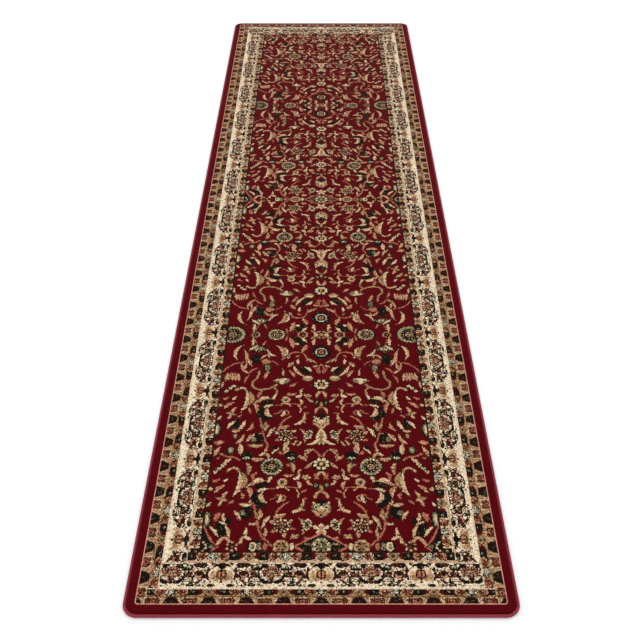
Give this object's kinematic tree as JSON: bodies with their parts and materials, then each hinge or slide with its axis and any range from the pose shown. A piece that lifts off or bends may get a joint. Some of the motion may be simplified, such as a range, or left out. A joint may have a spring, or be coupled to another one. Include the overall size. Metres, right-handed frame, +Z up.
{
  "type": "runner rug",
  "caption": "Long machine-woven runner rug with a scrolling floral field, framed patterned borders, a plain edge band and an overlocked edge.",
  "frame": {"origin": "middle of the underside, on the floor plane, with the rug lying flat", "axes": "+Y runs along the rug's length from the near end to the far end, +X across its width, +Z up out of the pile"},
  "size_m": [0.8, 3, 0.01],
  "materials": {
    "field_pile": "cut heat-set yarn, low sheen",
    "inner_guard_pile": "cut heat-set yarn, low sheen",
    "main_border_pile": "cut heat-set yarn, low sheen",
    "outer_guard_pile": "cut heat-set yarn, low sheen",
    "plain_band_pile": "cut heat-set yarn, low sheen",
    "jute_weft": "matt spun jute",
    "stuffer_yarn": "matt spun polyester-cotton",
    "back_size": "matt latex-sized weave",
    "overlock_yarn": "soft overlock yarn, low sheen"
  },
  "bodies": {
    "near_section": {"field_pile_near": "field_pile", "inner_guard_pile_near": "inner_guard_pile", "main_border_pile_near": "main_border_pile", "outer_guard_pile_near": "outer_guard_pile", "plain_band_pile_near": "plain_band_pile", "weft_near": "jute_weft", "stuffer_warp_near": "stuffer_yarn", "back_size_near": "back_size", "overlock_near": "overlock_yarn"},
    "middle_section": {"field_pile_middle": "field_pile", "inner_guard_pile_middle": "inner_guard_pile", "main_border_pile_middle": "main_border_pile", "outer_guard_pile_middle": "outer_guard_pile", "plain_band_pile_middle": "plain_band_pile", "weft_middle": "jute_weft", "stuffer_warp_middle": "stuffer_yarn", "back_size_middle": "back_size", "overlock_middle": "overlock_yarn"},
    "far_section": {"field_pile_far": "field_pile", "inner_guard_pile_far": "inner_guard_pile", "main_border_pile_far": "main_border_pile", "outer_guard_pile_far": "outer_guard_pile", "plain_band_pile_far": "plain_band_pile", "weft_far": "jute_weft", "stuffer_warp_far": "stuffer_yarn", "back_size_far": "back_size", "overlock_far": "overlock_yarn"}
  },
  "joints": [
    {"name": "near_fold", "type": "hinge", "parent": "middle_section", "child": "near_section", "pos_m": [0, -0.5, 0.01025], "axis": [-1, 0, 0], "range_deg": [0, 180]},
    {"name": "far_fold", "type": "hinge", "parent": "middle_section", "child": "far_section", "pos_m": [0, 0.5, 0.0155], "axis": [1, 0, 0], "range_deg": [0, 180]}
  ]
}
